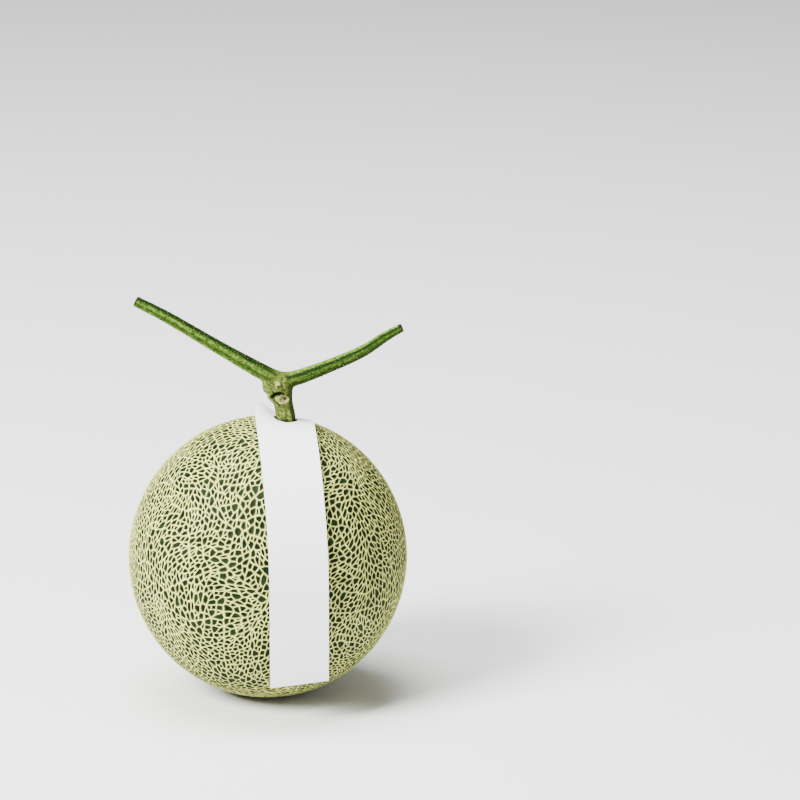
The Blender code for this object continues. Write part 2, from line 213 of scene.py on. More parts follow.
def crossings(face, normal):
    """Where a plane crosses a cell's rim: corners that are near enough, or places on an edge."""
    snap = CORNER_SNAP / FRUIT_RADIUS
    found = []
    for loop in face.loops:
        start = loop.vert
        end = loop.link_loop_next.vert
        height = normal.dot(start.co)
        next_height = normal.dot(end.co)
        if (height < 0.0) == (next_height < 0.0):
            continue
        share = height / (height - next_height)
        length = (end.co - start.co).length
        if share * length < snap:
            found.append((start, None, 0.0))
        elif (1.0 - share) * length < snap:
            found.append((end, None, 0.0))
        else:
            found.append((start, loop.edge, share))
    return found


def cut_cell(face, normal):
    """Cut a cell in two. Returns the new cell, or None where a sliver would be left."""
    found = crossings(face, normal)
    if len(found) != 2:
        return None
    for (corner, edge, _), (other, other_edge, _) in (found, found[::-1]):
        if edge is not None:
            continue
        if other_edge is not None and corner in other_edge.verts:
            return None
        if other_edge is None and (corner == other or any(other in e.verts for e in corner.link_edges)):
            return None
    ends = []
    for start, edge, share in found:
        if edge is None:
            ends.append(start)
            continue
        vert = bmesh.utils.edge_split(edge, start, share)[1]
        vert.co.normalize()
        ends.append(vert)
    return bmesh.utils.face_split(face, *ends)[0]


# %% [markdown]
# The first cracks are the oldest, so they grew the thickest cork. Each new edge remembers how early it
# came. Afterwards every joint is pulled towards its neighbours, which turns T-shaped joints into the softer
# Y-shaped ones of a healed crack, and a slow noise bends the long lines.

# %% Growing the net
NET_SEED = 5
CELL_AREA = 11.5e-6
AREA_SPREAD = (0.90, 1.36)
CUT_TRIES = 6
OLD_CELL_AREA = 500e-6
RELAX_STEPS = 2
RELAX_SHARE = 0.22
BEND_SIZE = 0.0040
POLE_EASE = 0.12
BEND_SCALE = 2.6
BEND_SHIFTS = (0.0, 9.3, 18.7)
SHORTEST_SPLIT = 0.0042
WOBBLE = 0.00016


def split_cells(bm, kept, chance, age):
    """Split the gores again and again, each cell across its longest way, down to the cells of the net."""
    waiting = [face for face in bm.faces if face not in kept]
    for face in waiting:
        for edge in face.edges:
            edge[age] = 1.0
    while waiting:
        face = waiting.pop()
        area = face.calc_area() * FRUIT_RADIUS ** 2
        if area < CELL_AREA * chance.uniform(*AREA_SPREAD):
            continue
        centre = face.calc_center_median_weighted().normalized()
        for _ in range(CUT_TRIES):
            new_face = cut_cell(face, cut_direction(face, centre, chance))
            if new_face is None:
                continue
            for edge in set(face.edges) & set(new_face.edges):
                edge[age] = min(1.0, math.sqrt(area / OLD_CELL_AREA))
            waiting += [face, new_face]
            break


def relax_net(bm, fixed):
    """Pull each joint towards its neighbours, then bend the whole net slowly."""
    free = [vert for vert in bm.verts if vert not in fixed]
    for _ in range(RELAX_STEPS):
        targets = []
        for vert in free:
            total = Vector((0.0, 0.0, 0.0))
            for edge in vert.link_edges:
                total += edge.other_vert(vert).co
            targets.append(vert.co.lerp(total / len(vert.link_edges), RELAX_SHARE).normalized())
        for vert, target in zip(free, targets):
            vert.co = target
    for vert in free:
        place = vert.co * BEND_SCALE
        bend = Vector([noise.noise(place + Vector((shift, 0.0, 0.0))) for shift in BEND_SHIFTS])
        bend *= BEND_SIZE / FRUIT_RADIUS
        ease = smooth_step((1.0 - abs(vert.co.dot(AXIS))) / POLE_EASE)
        vert.co = (vert.co + bend * ease).normalized()


def bend_edges(bm, kept_edges, chance):
    """Put a middle point in every longer edge and move it a little, because no cord is straight."""
    long_edges = [edge for edge in bm.edges
                  if edge not in kept_edges and edge.calc_length() * FRUIT_RADIUS > SHORTEST_SPLIT]
    for edge in long_edges:
        along = (edge.verts[1].co - edge.verts[0].co).normalized()
        vert = bmesh.utils.edge_split(edge, edge.verts[0], 0.5)[1]
        sideways = along.cross(vert.co.normalized())
        vert.co = (vert.co + sideways * chance.gauss(0.0, WOBBLE / FRUIT_RADIUS)).normalized()


# %% [markdown]
# Unit directions become real places here, a tenth of a millimetre lower than the crests of the frame's own
# net. Under the fruit its weight presses the net flat, so no point goes below the ground. The seat of the
# stalk is a small sunken dish, and the blossom scar, which nobody sees, a shallow one with a slightly
# raised middle. The age of the cracks goes along as an attribute, and so does a mark on the faces that no
# net covers.

# %% From directions to the fruit's surface
CREST_CLEARANCE = 0.0001
SEAT_WALL = 0.0003
SEAT_DEPTH = 0.0009
SCAR_STEPS = ((0.0006, -0.0005), (0.0014, -0.0002), (0.0004, 0.0003))


def place_on_fruit(bm, seat_face):
    """Put the net's points on the crest of the fruit, make the seat round and the resting spot flat."""
    for vert in bm.verts:
        direction = vert.co.normalized()
        vert.co = CENTRE + direction * (reach(direction) - CREST_CLEARANCE)
        if vert.co.z < 0.0:
            vert.co = CENTRE - direction * CENTRE.z / direction.z
    for vert in seat_face.verts:
        offset = vert.co - CENTRE
        outward = (offset - AXIS * offset.dot(AXIS)).normalized()
        vert.co = SEAT_RIM + outward * SEAT_RADIUS


def net_mesh():
    """The net as a mesh of cells, with the age of its cracks and a mark on the faces that stay plain."""
    chance = random.Random(NET_SEED)
    bm = bmesh.new()
    age = bm.edges.layers.float.new("crack_age")
    old = bm.verts.layers.float.new("old_crack")
    plain = bm.faces.layers.float.new("plain")
    seat_face, scar_face = add_gores(bm)
    bm.normal_update()
    kept = {seat_face, scar_face}
    split_cells(bm, kept, chance, age)
    relax_net(bm, set(seat_face.verts) | set(scar_face.verts))
    bend_edges(bm, set(seat_face.edges) | set(scar_face.edges), chance)
    cells = len(bm.faces) - len(kept)
    place_on_fruit(bm, seat_face)
    bm.normal_update()
    for vert in bm.verts:
        vert[old] = max(edge[age] for edge in vert.link_edges)
    steps = [(seat_face, SEAT_WALL, -SEAT_DEPTH)] + [(scar_face, *step) for step in SCAR_STEPS]
    for face, thickness, depth in steps:
        for wall in bmesh.ops.inset_individual(bm, faces=[face], thickness=thickness, depth=depth)["faces"]:
            wall[plain] = 1.0
        face[plain] = 1.0
    mesh = bpy.data.meshes.new("fruit_net")
    bm.to_mesh(mesh)
    bm.free()
    print("cells in the net", cells)
    return mesh


net = net_mesh()

# %% [markdown]
# Geometry Nodes raise the relief. A short helper adds a node, sets its options, feeds its inputs in order
# and hands back one of its outputs, so a tree reads from top to bottom like a recipe.

# %% Helpers for node trees
def add_node(tree, kind, *values, output=0, **options):
    """Add a node to a tree, feed its inputs in order and return one output."""
    made = tree.nodes.new(kind)
    for name, value in options.items():
        setattr(made, name, value)
    for socket, value in zip([socket for socket in made.inputs if socket.enabled], values):
        if isinstance(value, bpy.types.NodeSocket):
            tree.links.new(value, socket)
        elif value is not None:
            socket.default_value = value
    return [socket for socket in made.outputs if socket.enabled][output]


def new_group(name, kind, inputs, outputs):
    """A node group with named sockets. Returns the tree, its inputs by name and its outputs by name."""
    tree = bpy.data.node_groups.new(name, kind)
    for label, socket_type, value in inputs:
        socket = tree.interface.new_socket(label, in_out="INPUT", socket_type=socket_type)
        if value is not None:
            socket.default_value = value
    for label, socket_type in outputs:
        tree.interface.new_socket(label, in_out="OUTPUT", socket_type=socket_type)
    return tree, tree.nodes.new("NodeGroupInput").outputs, tree.nodes.new("NodeGroupOutput").inputs


def vector_math(tree, operation, *values):
    """One vector math node."""
    return add_node(tree, "ShaderNodeVectorMath", *values, operation=operation)


def number_math(tree, operation, *values):
    """One math node."""
    return add_node(tree, "ShaderNodeMath", *values, operation=operation)


def ramp(tree, value, low, high, new_low=0.0, new_high=1.0):
    """Map a value from one range to another, eased and clamped."""
    return add_node(tree, "ShaderNodeMapRange", value, low, high, new_low, new_high,
                    interpolation_type="SMOOTHSTEP")


def bake_nodes(piece_name, mesh, tree, values):
    """Run a Geometry Nodes tree on a mesh once and keep the result as a plain mesh object."""
    piece = bpy.data.objects.new(piece_name, mesh)
    bpy.context.scene.collection.objects.link(piece)
    run = piece.modifiers.new("nodes", "NODES")
    run.node_group = tree
    for item in tree.interface.items_tree:
        if item.in_out == "INPUT" and item.name in values:
            run[item.identifier] = values[item.name]
    bpy.context.view_layer.update()
    made = bpy.data.meshes.new_from_object(piece.evaluated_get(bpy.context.evaluated_depsgraph_get()))
    piece.modifiers.clear()
    piece.data = made
    made.name = piece_name
    made.shade_smooth()
    made.calc_loop_triangles()
    print(piece_name, "has", len(made.loop_triangles), "triangles")
    return piece


# %% [markdown]
# The relief takes each cell as an island and works out two rings inside its rim: the shoulder, where the
# cord turns down, and the foot, where it meets the skin. A point slides towards the cell's middle by the
# share that keeps the cord equally wide on long and short sides, but never so far that the hole closes.
# Blurring the ring rounds the hole, as cork does.

# %% Rings inside a cell
LARGEST_SHARE = 0.64


def ring_inside(tree, width, rounding):
    """Field with each point of a cell's rim moved inwards by a width, and the ring made rounder."""
    index = add_node(tree, "GeometryNodeInputIndex")
    place = add_node(tree, "GeometryNodeInputPosition")
    corner = add_node(tree, "GeometryNodeCornersOfVertex", index)
    face = add_node(tree, "GeometryNodeFaceOfCorner", corner)
    centre = add_node(tree, "GeometryNodeFieldAtIndex", place, face, data_type="FLOAT_VECTOR", domain="FACE")
    inwards = vector_math(tree, "SUBTRACT", centre, place)
    sides = []
    for step in (1, -1):
        other = add_node(tree, "GeometryNodeOffsetCornerInFace", corner, step)
        vertex = add_node(tree, "GeometryNodeVertexOfCorner", other)
        end = add_node(tree, "GeometryNodeFieldAtIndex", place, vertex, data_type="FLOAT_VECTOR",
                       domain="POINT")
        edge = vector_math(tree, "NORMALIZE", vector_math(tree, "SUBTRACT", end, place))
        sides.append(vector_math(tree, "LENGTH", vector_math(tree, "CROSS_PRODUCT", edge, inwards)))
    nearest = number_math(tree, "MINIMUM", *sides)
    share = number_math(tree, "MINIMUM", number_math(tree, "DIVIDE", width, nearest), LARGEST_SHARE)
    moved = vector_math(tree, "ADD", place, vector_math(tree, "SCALE", inwards, share))
    return add_node(tree, "GeometryNodeBlurAttribute", moved, 2, rounding, data_type="FLOAT_VECTOR")


# %% [markdown]
# Two extrusions of every cell, each on its own, then carry the rings down: crest, shoulder, foot. The
# islands are joined again along the crest, so the fruit is one closed skin. Cords are thicker on old
# cracks. Two attributes go to the material: cork falls from 1 on the crest over the shoulder to 0 at the
# foot and on the skin, and wide rises from 0 in small cells to 1 in large ones.

# %% The tree that raises the net
UNEVEN_SCALE = 55.0
YOUNG_GROWTH = 0.76
GROWTH_BY_AGE = 0.75
SHOULDER_CORK = 0.6
WELD_DISTANCE = 0.00001


def move_ring(tree, geometry, selection, ring_name, depth):
    """Move the selected ring to its stored place, and down towards the fruit's centre."""
    place = add_node(tree, "GeometryNodeInputNamedAttribute", ring_name, data_type="FLOAT_VECTOR")
    outwards = vector_math(tree, "NORMALIZE", vector_math(tree, "SUBTRACT", place, tuple(CENTRE)))
    sunk = vector_math(tree, "SUBTRACT", place, vector_math(tree, "SCALE", outwards, depth))
    return add_node(tree, "GeometryNodeSetPosition", geometry, selection, sunk)


def store(tree, geometry, selection, name, value, kind="FLOAT"):
    """Store a named attribute on the points."""
    return add_node(tree, "GeometryNodeStoreNamedAttribute", geometry, selection, name, value,
                    data_type=kind, domain="POINT")


def relief_tree(material):
    """The Geometry Nodes tree that turns a mesh of cells into raised cords round sunken skin."""
    number = "NodeSocketFloat"
    tree, given, result = new_group("raised net", "GeometryNodeTree", [
        ("Geometry", "NodeSocketGeometry", None), ("Cord half width", number, 0.0008),
        ("Cord height", number, 0.0008), ("Shoulder share", number, 0.5), ("Shoulder drop", number, 0.12),
        ("Rounding", number, 0.3), ("Unevenness", number, 0.5), ("Small cell", number, 0.000005),
        ("Large cell", number, 0.000015),
    ], [("Geometry", "NodeSocketGeometry")])
    patches = add_node(tree, "ShaderNodeTexNoise", None, UNEVEN_SCALE, 2.0, 0.6)
    age = add_node(tree, "GeometryNodeInputNamedAttribute", "old_crack", data_type="FLOAT")
    uneven = number_math(tree, "MULTIPLY", number_math(tree, "SUBTRACT", patches, 0.5), given["Unevenness"])
    aged = number_math(tree, "MULTIPLY_ADD", age, GROWTH_BY_AGE, YOUNG_GROWTH)
    growth = number_math(tree, "ADD", uneven, aged)
    width = number_math(tree, "MULTIPLY", given["Cord half width"], growth)
    height = number_math(tree, "MULTIPLY", given["Cord height"], growth)
    shoulder_width = number_math(tree, "MULTIPLY", width, given["Shoulder share"])
    shoulder_drop = number_math(tree, "MULTIPLY", height, given["Shoulder drop"])
    flow = add_node(tree, "GeometryNodeSplitEdges", given["Geometry"])
    flow = store(tree, flow, None, "foot", ring_inside(tree, width, given["Rounding"]), "FLOAT_VECTOR")
    flow = store(tree, flow, None, "shoulder", ring_inside(tree, shoulder_width, 0.0), "FLOAT_VECTOR")
    flow = store(tree, flow, None, "cord_height", height)
    area = add_node(tree, "GeometryNodeInputMeshFaceArea")
    wide = add_node(tree, "ShaderNodeMapRange", area, given["Small cell"], given["Large cell"], 0.0, 1.0)
    flow = store(tree, flow, None, "wide", wide)
    flow = store(tree, flow, None, "cork", 1.0)
    plain = add_node(tree, "GeometryNodeInputNamedAttribute", "plain", data_type="FLOAT")
    netted = add_node(tree, "FunctionNodeCompare", plain, 0.5, data_type="FLOAT", operation="LESS_THAN")
    first = tree.nodes.new("GeometryNodeExtrudeMesh")
    second = tree.nodes.new("GeometryNodeExtrudeMesh")
    for extrude, mesh, selection in ((first, flow, netted), (second, None, first.outputs["Top"])):
        extrude.mode = "FACES"
        extrude.inputs["Offset Scale"].default_value = 0.0
        tree.links.new(selection, extrude.inputs["Selection"])
    tree.links.new(flow, first.inputs["Mesh"])
    stored_height = add_node(tree, "GeometryNodeInputNamedAttribute", "cord_height", data_type="FLOAT")
    flow = move_ring(tree, first.outputs["Mesh"], first.outputs["Top"], "shoulder", shoulder_drop)
    flow = store(tree, flow, first.outputs["Top"], "cork", SHOULDER_CORK)
    tree.links.new(flow, second.inputs["Mesh"])
    flow = move_ring(tree, second.outputs["Mesh"], second.outputs["Top"], "foot", stored_height)
    flow = store(tree, flow, second.outputs["Top"], "cork", 0.0)
    flow = add_node(tree, "GeometryNodeMergeByDistance", flow, None, WELD_DISTANCE)
    flow = add_node(tree, "GeometryNodeRealizeInstances", flow)
    flow = add_node(tree, "GeometryNodeSetMaterial", flow, None, material)
    tree.links.new(flow, result["Geometry"])
    return tree


# %% [markdown]
# The materials share two effects, so each is a group. One mottles a colour with soft patches and a fine
# grain, because nothing that grew has one flat colour. The other is a fine relief for the smallest bumps.

# %% Groups that the materials share
def mottle_group():
    """Mix two colours in soft patches of a given size and grade the result with a finer grain."""
    number = "NodeSocketFloat"
    tree, given, result = new_group("mottle", "ShaderNodeTree", [
        ("Vector", "NodeSocketVector", None), ("Colour", "NodeSocketColor", None),
        ("Patch colour", "NodeSocketColor", None), ("Patch size", number, 0.01),
        ("Patch amount", number, 0.5), ("Grain size", number, 0.0005), ("Grain amount", number, 0.2),
    ], [("Colour", "NodeSocketColor"), ("Grain", number)])
    patch_scale = number_math(tree, "DIVIDE", 1.0, given["Patch size"])
    patch = add_node(tree, "ShaderNodeTexNoise", given["Vector"], patch_scale, 3.0, 0.55)
    share = number_math(tree, "MULTIPLY", ramp(tree, patch, 0.35, 0.65), given["Patch amount"])
    mixed = add_node(tree, "ShaderNodeMix", share, given["Colour"], given["Patch colour"], data_type="RGBA")
    grain_scale = number_math(tree, "DIVIDE", 1.0, given["Grain size"])
    grain = add_node(tree, "ShaderNodeTexNoise", given["Vector"], grain_scale, 3.0, 0.6)
    uneven = number_math(tree, "SUBTRACT", grain, 0.5)
    brightness = number_math(tree, "ADD", number_math(tree, "MULTIPLY", uneven, given["Grain amount"]), 1.0)
    tree.links.new(vector_math(tree, "SCALE", mixed, brightness), result["Colour"])
    tree.links.new(grain, result["Grain"])
    return tree


def fine_relief_group():
    """A bumped normal from noise of a given size and depth, with any other height added to it."""
    number = "NodeSocketFloat"
    tree, given, result = new_group("fine relief", "ShaderNodeTree", [
        ("Vector", "NodeSocketVector", None), ("Size", number, 0.0005), ("Depth", number, 0.00005),
        ("Height", number, 0.0),
    ], [("Normal", "NodeSocketVector")])
    scale = number_math(tree, "DIVIDE", 1.0, given["Size"])
    bumps = add_node(tree, "ShaderNodeTexNoise", given["Vector"], scale, 4.0, 0.6)
    height = number_math(tree, "MULTIPLY_ADD", bumps, given["Depth"], given["Height"])
    bump = tree.nodes.new("ShaderNodeBump")
    bump.inputs["Distance"].default_value = 1.0
    tree.links.new(height, bump.inputs["Height"])
    tree.links.new(bump.outputs["Normal"], result["Normal"])
    return tree


MOTTLE = mottle_group()
FINE_RELIEF = fine_relief_group()


def use_group(tree, group, **values):
    """Put a shared group into a material and return the node, with its sockets set by name."""
    made = tree.nodes.new("ShaderNodeGroup")
    made.node_tree = group
    for name, value in values.items():
        socket = made.inputs[name.replace("_", " ")]
        if isinstance(value, bpy.types.NodeSocket):
            tree.links.new(value, socket)
        else:
            socket.default_value = value
    return made


def attribute(tree, name):
    """The value of a named attribute."""
    return add_node(tree, "ShaderNodeAttribute", attribute_name=name, output=2)


def object_place(tree):
    """The place in the object's own coordinates, in metres."""
    return tree.nodes.new("ShaderNodeTexCoord").outputs["Object"]


def mix_colours(tree, factor, first, second):
    """Mix two colours."""
    return add_node(tree, "ShaderNodeMix", factor, first, second, data_type="RGBA")


def finish_material(name, build):
    """Make a material whose Principled shader takes its colour, roughness and normal from a function."""
    material = bpy.data.materials.new(name)
    material.use_nodes = True
    tree = material.node_tree
    shader = tree.nodes["Principled BSDF"]
    for socket, value in build(tree).items():
        if isinstance(value, bpy.types.NodeSocket):
            tree.links.new(value, shader.inputs[socket])
        else:
            shader.inputs[socket].default_value = value
    return material


# %% [markdown]
# The rind has two faces. Cork is dry and dull, cream to tan on the crest and browner where the crack is old,
# and its flanks carry an olive painted shade that stands in for the shading of a rounded cord. The skin
# between the cords is dark green with painted shade of the pits, nearly black in small cells, has patches
# of a bluer green in large ones, and hardly shines. The cork attribute says which is which, and noise frays
# the line between them. The colours were set by rendering them, so their numbers are stronger than what is
# seen.

# %% Material of the rind
CORK_CREAM = (0.87, 0.95, 0.28, 1.0)
CORK_TAN = (0.40, 0.35, 0.11, 1.0)
CORK_FLANK_SHADE = (0.058, 0.070, 0.014, 1.0)
SKIN_GREEN_AND_PIT_SHADE = (0.002, 0.006, 0.001, 1.0)
SKIN_BLUE_GREEN = (0.012, 0.027, 0.009, 1.0)


def rind_nodes(tree):
    """Colour, roughness and normal of the netted rind."""
    place = object_place(tree)
    cork = use_group(tree, MOTTLE, Vector=place, Colour=CORK_CREAM, Patch_colour=CORK_TAN, Patch_size=0.0045,
                     Patch_amount=0.40, Grain_size=0.00045, Grain_amount=0.35)
    # The skin's near-black green is partly its own dark green and partly painted shade of the pits, darkest
    # in small cells.
    skin = use_group(tree, MOTTLE, Vector=place, Colour=SKIN_GREEN_AND_PIT_SHADE, Patch_colour=SKIN_BLUE_GREEN,
                     Patch_size=0.0055, Patch_amount=attribute(tree, "wide"), Grain_size=0.0006,
                     Grain_amount=0.5)
    frayed = number_math(tree, "MULTIPLY_ADD", cork.outputs["Grain"], 0.30, attribute(tree, "cork"))
    is_cork = ramp(tree, frayed, 0.40, 0.78)
    aged = mix_colours(tree, number_math(tree, "MULTIPLY", attribute(tree, "old_crack"), 0.35),
                       cork.outputs["Colour"], CORK_TAN)
    # Painted shade: the cords darken to olive down their flanks, as a rounded cord turns away from the light.
    flank_shaded = mix_colours(tree, ramp(tree, frayed, 0.76, 1.12), CORK_FLANK_SHADE, aged)
    colour = mix_colours(tree, is_cork, skin.outputs["Colour"], flank_shaded)
    flaky = number_math(tree, "MULTIPLY", cork.outputs["Grain"], is_cork)
    flakes = number_math(tree, "MULTIPLY", flaky, 0.00012)
    relief = use_group(tree, FINE_RELIEF, Vector=place, Size=0.0016, Depth=0.00010, Height=flakes)
    return {
        "Base Color": colour,
        "Roughness": ramp(tree, is_cork, 0.0, 1.0, 0.52, 0.85),
        "Normal": relief.outputs["Normal"],
        "Specular IOR Level": 0.05,
    }


rind = finish_material("netted_rind", rind_nodes)

# %% [markdown]
# Now the net is raised on the fruit, and the result is kept as a plain mesh.

# %% The fruit
fruit = bake_nodes("fruit_rind", net, relief_tree(rind), {
    "Cord half width": 0.00060,
    "Cord height": 0.00028,
    "Shoulder share": 0.48,
    "Shoulder drop": 0.28,
    "Rounding": 0.40,
    "Unevenness": 0.50,
    "Small cell": 0.000008,
    "Large cell": 0.000020,
})
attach(fruit, "root")
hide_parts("fruit")

# %% [markdown]
# The stalk carried the fruit's water and sugar, and it was cut with a piece of the vine, which makes the T.
# Each arm is a tube along a smooth route with five ridges, as is usual in this family. The tubes, the
# swollen node, the cut leaf stub and the scars are fused by remeshing, because they grew as one.

# %% Routes of the stalk and the vine
VINE_ROUTE = (
    (-0.0660, 0.0120, 0.2019, 0.00265),
    (-0.0499, 0.0090, 0.1940, 0.00290),
    (-0.0254, 0.0046, 0.1801, 0.00325),
    (-0.0100, 0.0018, 0.1716, 0.00370),
    (0.0010, 0.0004, 0.1658, 0.00410),
    (0.0085, 0.0000, 0.1636, 0.00420),
    (0.0158, -0.0003, 0.1649, 0.00385),
    (0.0318, -0.0022, 0.1713, 0.00335),
    (0.0481, -0.0047, 0.1791, 0.00300),
    (0.0600, -0.0067, 0.1873, 0.00255),
    (0.0682, -0.0080, 0.1921, 0.00215),
)
FOOT_GAP = 0.0003
FOOT_STOPS = ((0.0, 0.00545), (0.0012, 0.00500), (0.0030, 0.00470))
STALK_ROUTE = (
    (0.0085, 0.0000, 0.15000, 0.00470),
    (0.0078, 0.0000, 0.15500, 0.00510),
    (0.0076, 0.0000, 0.15900, 0.00560),
    (0.0074, 0.0000, 0.16250, 0.00540),
)
NODE_CENTRE = Vector((0.0055, 0.0, 0.1600))
NODE_SIZE = Vector((0.0078, 0.0058, 0.0060))
STUB_ROUTE = (
    (0.0081, -0.0020, 0.15070, 0.00290),
    (0.0079, -0.0048, 0.15270, 0.00310),
    (0.0077, -0.0070, 0.15500, 0.00365),
)
SCAR_ROUTE = (
    (0.0058, -0.0035, 0.16170, 0.00170),
    (0.0058, -0.0062, 0.16240, 0.00150),
    (0.0058, -0.0069, 0.16260, 0.00100),
)
BRACT_ROUTE = (
    (0.0010, -0.0028, 0.15620, 0.00130),
    (0.0034, -0.0046, 0.15370, 0.00125),
    (0.0062, -0.0052, 0.15130, 0.00095),
)
VINE_STEPS = 12
STALK_STEPS = 8
STUB_STEPS = 4
BRACT_STEPS = 6


def curve_through(stops, steps):
    """Points and radii on a smooth Catmull-Rom curve through a route's stops."""
    points = [Vector(stop) for stop in stops]
    made = []
    for i in range(len(points) - 1):
        before = points[max(0, i - 1)]
        start = points[i]
        end = points[i + 1]
        after = points[min(len(points) - 1, i + 2)]
        for step in range(steps):
            t = step / steps
            made.append(0.5 * (2.0 * start + (end - before) * t
                               + (2.0 * before - 5.0 * start + 4.0 * end - after) * t ** 2
                               + (3.0 * start - before - 3.0 * end + after) * t ** 3))
    made.append(points[-1])
    return [(point.xyz, point.w) for point in made]


def frames_along(stations):
    """Two directions across the route at every station, carried along without twisting."""
    frames = []
    side = BACK
    for i, (point, _) in enumerate(stations):
        before = stations[max(0, i - 1)][0]
        after = stations[min(len(stations) - 1, i + 1)][0]
        tangent = (after - before).normalized()
        side = (side - tangent * side.dot(tangent)).normalized()
        frames.append((side, tangent.cross(side), tangent))
    return frames


# %% [markdown]
# A sweep carries a ring of points along a route. Where an end was cut, a thin rim stands round the pith,
# which has dried and sunk a little. The same function makes the arms, the stalk, the stub, the tendril scar
# and the withered bract.

# %% Sweeping tubes
RIDGES = 5
RIDGE_DEPTH = 0.09
RIDGE_SHARPNESS = 1.5
STUB_HEIGHT_SHARE = 0.70
VINE_TWIST = (math.radians(18.0), math.radians(46.0))
TURNING_LENGTH = 0.0080
TUBE_SIDES = 50
PITH_SHARE = 0.66
PITH_SLOPE = 0.12
PITH_DEPTH = 0.0007


def arm_share(point):
    """0 on the left arm of the vine, 1 on the right arm, and in between at the node."""
    return smooth_step(0.5 + (point.x - NODE_CENTRE.x) / (2.0 * TURNING_LENGTH))


def ridge_shape(turn):
    """Height of the ridges round a stem, from -1 in a groove to 1 on a ridge."""
    return 2.0 * ((1.0 + math.cos(RIDGES * turn)) / 2.0) ** RIDGE_SHARPNESS - 1.0


def add_ring(bm, point, frame, radius, form):
    """A ring of points round a station. The form is the ridges' depth, their turn and the height share."""
    side, other, _ = frame
    ridge_depth, twist, height = form
    ring = []
    for k in range(TUBE_SIDES):
        turn = 2.0 * math.pi * k / TUBE_SIDES
        out = radius * (1.0 + ridge_depth * ridge_shape(turn - twist))
        ring.append(bm.verts.new(point + (side * math.cos(turn) * height + other * math.sin(turn)) * out))
    return ring


def add_tube(bm, stops, steps, ridge_depth, sunk_ends=(False, False), twist=(0.0, 0.0), height=1.0):
    """A closed tube along a route, with a sunken pith where an end is a cut end."""
    stations = curve_through(stops, steps)
    frames = frames_along(stations)
    forms = [(ridge_depth, twist[0] + (twist[1] - twist[0]) * arm_share(point), height)
             for point, _ in stations]
    rings = [add_ring(bm, *station, form) for station, form in zip(
        [(point, frame, radius) for (point, radius), frame in zip(stations, frames)], forms)]
    for place, inwards, is_cut in ((0, 1.0, sunk_ends[0]), (-1, -1.0, sunk_ends[1])):
        if not is_cut:
            continue
        point, radius = stations[place]
        deep = point + frames[place][2] * inwards * PITH_DEPTH
        inner = [add_ring(bm, point, frames[place], radius * (PITH_SHARE + PITH_SLOPE), forms[place]),
                 add_ring(bm, deep, frames[place], radius * PITH_SHARE, forms[place])]
        rings = inner[::-1] + rings if place == 0 else rings + inner
    for lower, upper in zip(rings, rings[1:]):
        for k in range(TUBE_SIDES):
            after = (k + 1) % TUBE_SIDES
            bm.faces.new((lower[k], lower[after], upper[after], upper[k]))
    bm.faces.new(rings[0][::-1])
    bm.faces.new(rings[-1])


# %% [markdown]
# Remeshing at a third of a millimetre keeps the ridges and the rims of the cuts, and a few smoothing steps
# take away the steps of the grid. The bark of the node is rougher than the arms, which a small noise gives.
# Creases are pressed into its front last. Each is a line seen from the front, from one x and z to another,
# with its width, its depth and how dark the painted shade in it is. The last one has no depth and is only
# a soft painted shade on the node's right side.

# %% Fusing the stem
VOXEL = 0.00034
SMOOTH_STEPS = 3
NODE_REACH = 0.0115
NODE_SMOOTH_STEPS = 24
BARK_SIZE = 0.0021
BARK_HEIGHT = 0.00045
FILLET_CENTRE = Vector((0.0014, 0.0, 0.1618))
FILLET_SIZE = Vector((0.0038, 0.0044, 0.0048))
CREASES = (
    ((0.0028, 0.1554), (0.0045, 0.1569), 0.0010, 0.0014, 1.0),
    ((0.0045, 0.1569), (0.0066, 0.1574), 0.0012, 0.0016, 1.0),
    ((0.0066, 0.1574), (0.0089, 0.1569), 0.0009, 0.0010, 0.7),
    ((0.0042, 0.1540), (0.0064, 0.1517), 0.0006, 0.0009, 1.0),
    # Painted shade only, on the node's right side, which faces away from the light.
    ((0.0100, 0.1560), (0.0104, 0.1605), 0.0020, 0.0000, 0.5),
)


def add_swelling(bm, centre, size):
    """A closed ellipsoid."""
    bmesh.ops.create_icosphere(bm, subdivisions=4, radius=1.0, matrix=Matrix.LocRotScale(centre, None, size))


def grow(parts, start=None):
    """A mesh of closed shapes, each made by a function and its values, added to the mesh it starts with."""
    bm = bmesh.new()
    if start:
        bm.from_mesh(start)
    for add, values in parts:
        add(bm, *values)
    mesh = bpy.data.meshes.new("grown")
    bm.to_mesh(mesh)
    bm.free()
    return mesh


def fuse(name, mesh):
    """Fuse overlapping closed shapes into one smooth closed mesh."""
    piece = bpy.data.objects.new(name, mesh)
    bpy.context.scene.collection.objects.link(piece)
    remesh = piece.modifiers.new("fuse", "REMESH")
    remesh.mode = "VOXEL"
    remesh.voxel_size = VOXEL
    smooth = piece.modifiers.new("smooth", "SMOOTH")
    smooth.factor = 0.5
    smooth.iterations = SMOOTH_STEPS
    bpy.context.view_layer.update()
    made = bpy.data.meshes.new_from_object(piece.evaluated_get(bpy.context.evaluated_depsgraph_get()))
    bpy.data.objects.remove(piece)
    made.name = name
    made.shade_smooth()
    return made


def points_of(mesh):
    """The places of a mesh's points as an array."""
    places = np.empty(len(mesh.vertices) * 3)
    mesh.vertices.foreach_get("co", places)
    return places.reshape(-1, 3)


def creases_at(places):
    """Painted shade, 0 to 1, and depth in metres of the creases at the node's front."""
    shade = np.zeros(len(places))
    depth = np.zeros(len(places))
    flat = places[:, [0, 2]]
    for start, end, width, deepest, darkest in CREASES:
        span = np.array(end) - np.array(start)
        share = np.clip((flat - start) @ span / (span @ span), 0.0, 1.0)
        distance = np.linalg.norm(flat - start - share[:, None] * span, axis=1)
        hollow = np.where(places[:, 1] < 0.0, np.exp(-(distance / width) ** 2), 0.0)
        shade = np.maximum(shade, darkest * hollow)
        depth = np.maximum(depth, deepest * hollow)
    return shade, depth


